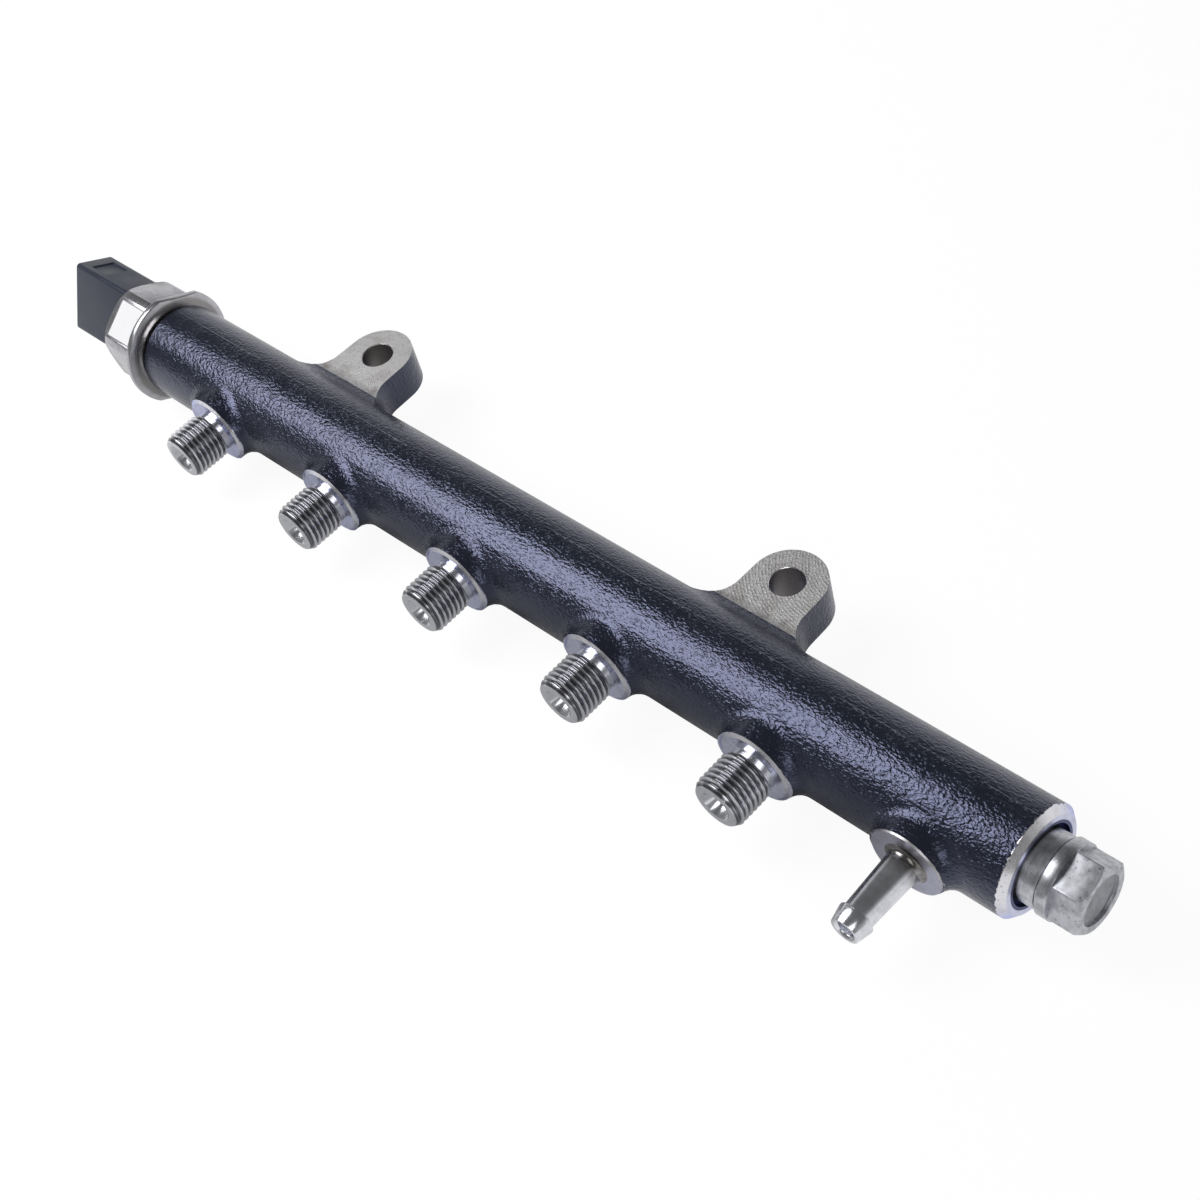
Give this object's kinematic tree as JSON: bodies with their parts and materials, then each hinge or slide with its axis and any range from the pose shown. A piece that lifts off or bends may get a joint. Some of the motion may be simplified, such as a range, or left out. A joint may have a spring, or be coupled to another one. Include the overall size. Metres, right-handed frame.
{
  "type": "fuel rail",
  "caption": "Forged common-rail fuel rail with threaded outlet stubs, bolt lugs, a pressure sensor with plug socket, a pressure-limiting valve and a barbed return nipple.",
  "frame": {"origin": "on the rail axis, where the middle outlet's axis crosses it", "axes": "+X along the rail towards the pressure-limiting valve, -Y the way the outlets point, +Z along the lug holes towards their milled upper faces"},
  "size_m": [0.3668, 0.0738, 0.0344],
  "materials": {
    "coated_steel": "satin black coat with a fine pebbled texture, bare where machined",
    "bright_steel": "turned and milled",
    "spring_steel": "drawn wire",
    "seal_rubber": "matte",
    "board_plastic": "moulded",
    "circuit_board": "lacquered board",
    "connector_plastic": "moulded, slightly satin",
    "contact_metal": "tinned"
  },
  "bodies": {
    "rail": {"rail_body": "coated_steel", "port_restrictors": "bright_steel", "return_nipple": "bright_steel", "valve_body": "bright_steel", "valve_seat": "bright_steel", "valve_spring": "spring_steel", "spring_shim": "bright_steel", "valve_seal_ring": "seal_rubber", "sensor_housing": "bright_steel", "sensor_element": "bright_steel", "board_support": "board_plastic", "sensor_board": "circuit_board", "contact_pin_1": "contact_metal", "contact_pin_2": "contact_metal", "contact_pin_3": "contact_metal", "connector_shell": "connector_plastic", "connector_seal": "seal_rubber", "terminal_1": "contact_metal", "terminal_2": "contact_metal", "terminal_3": "contact_metal"},
    "piston": {"valve_piston": "bright_steel"}
  },
  "joints": [
    {"name": "piston_lift", "type": "slide", "parent": "rail", "child": "piston", "axis": [1, 0, 0], "range_m": [0, 0.001], "stiffness_N_per_m": 1000, "deforming": ["valve_spring"]}
  ]
}
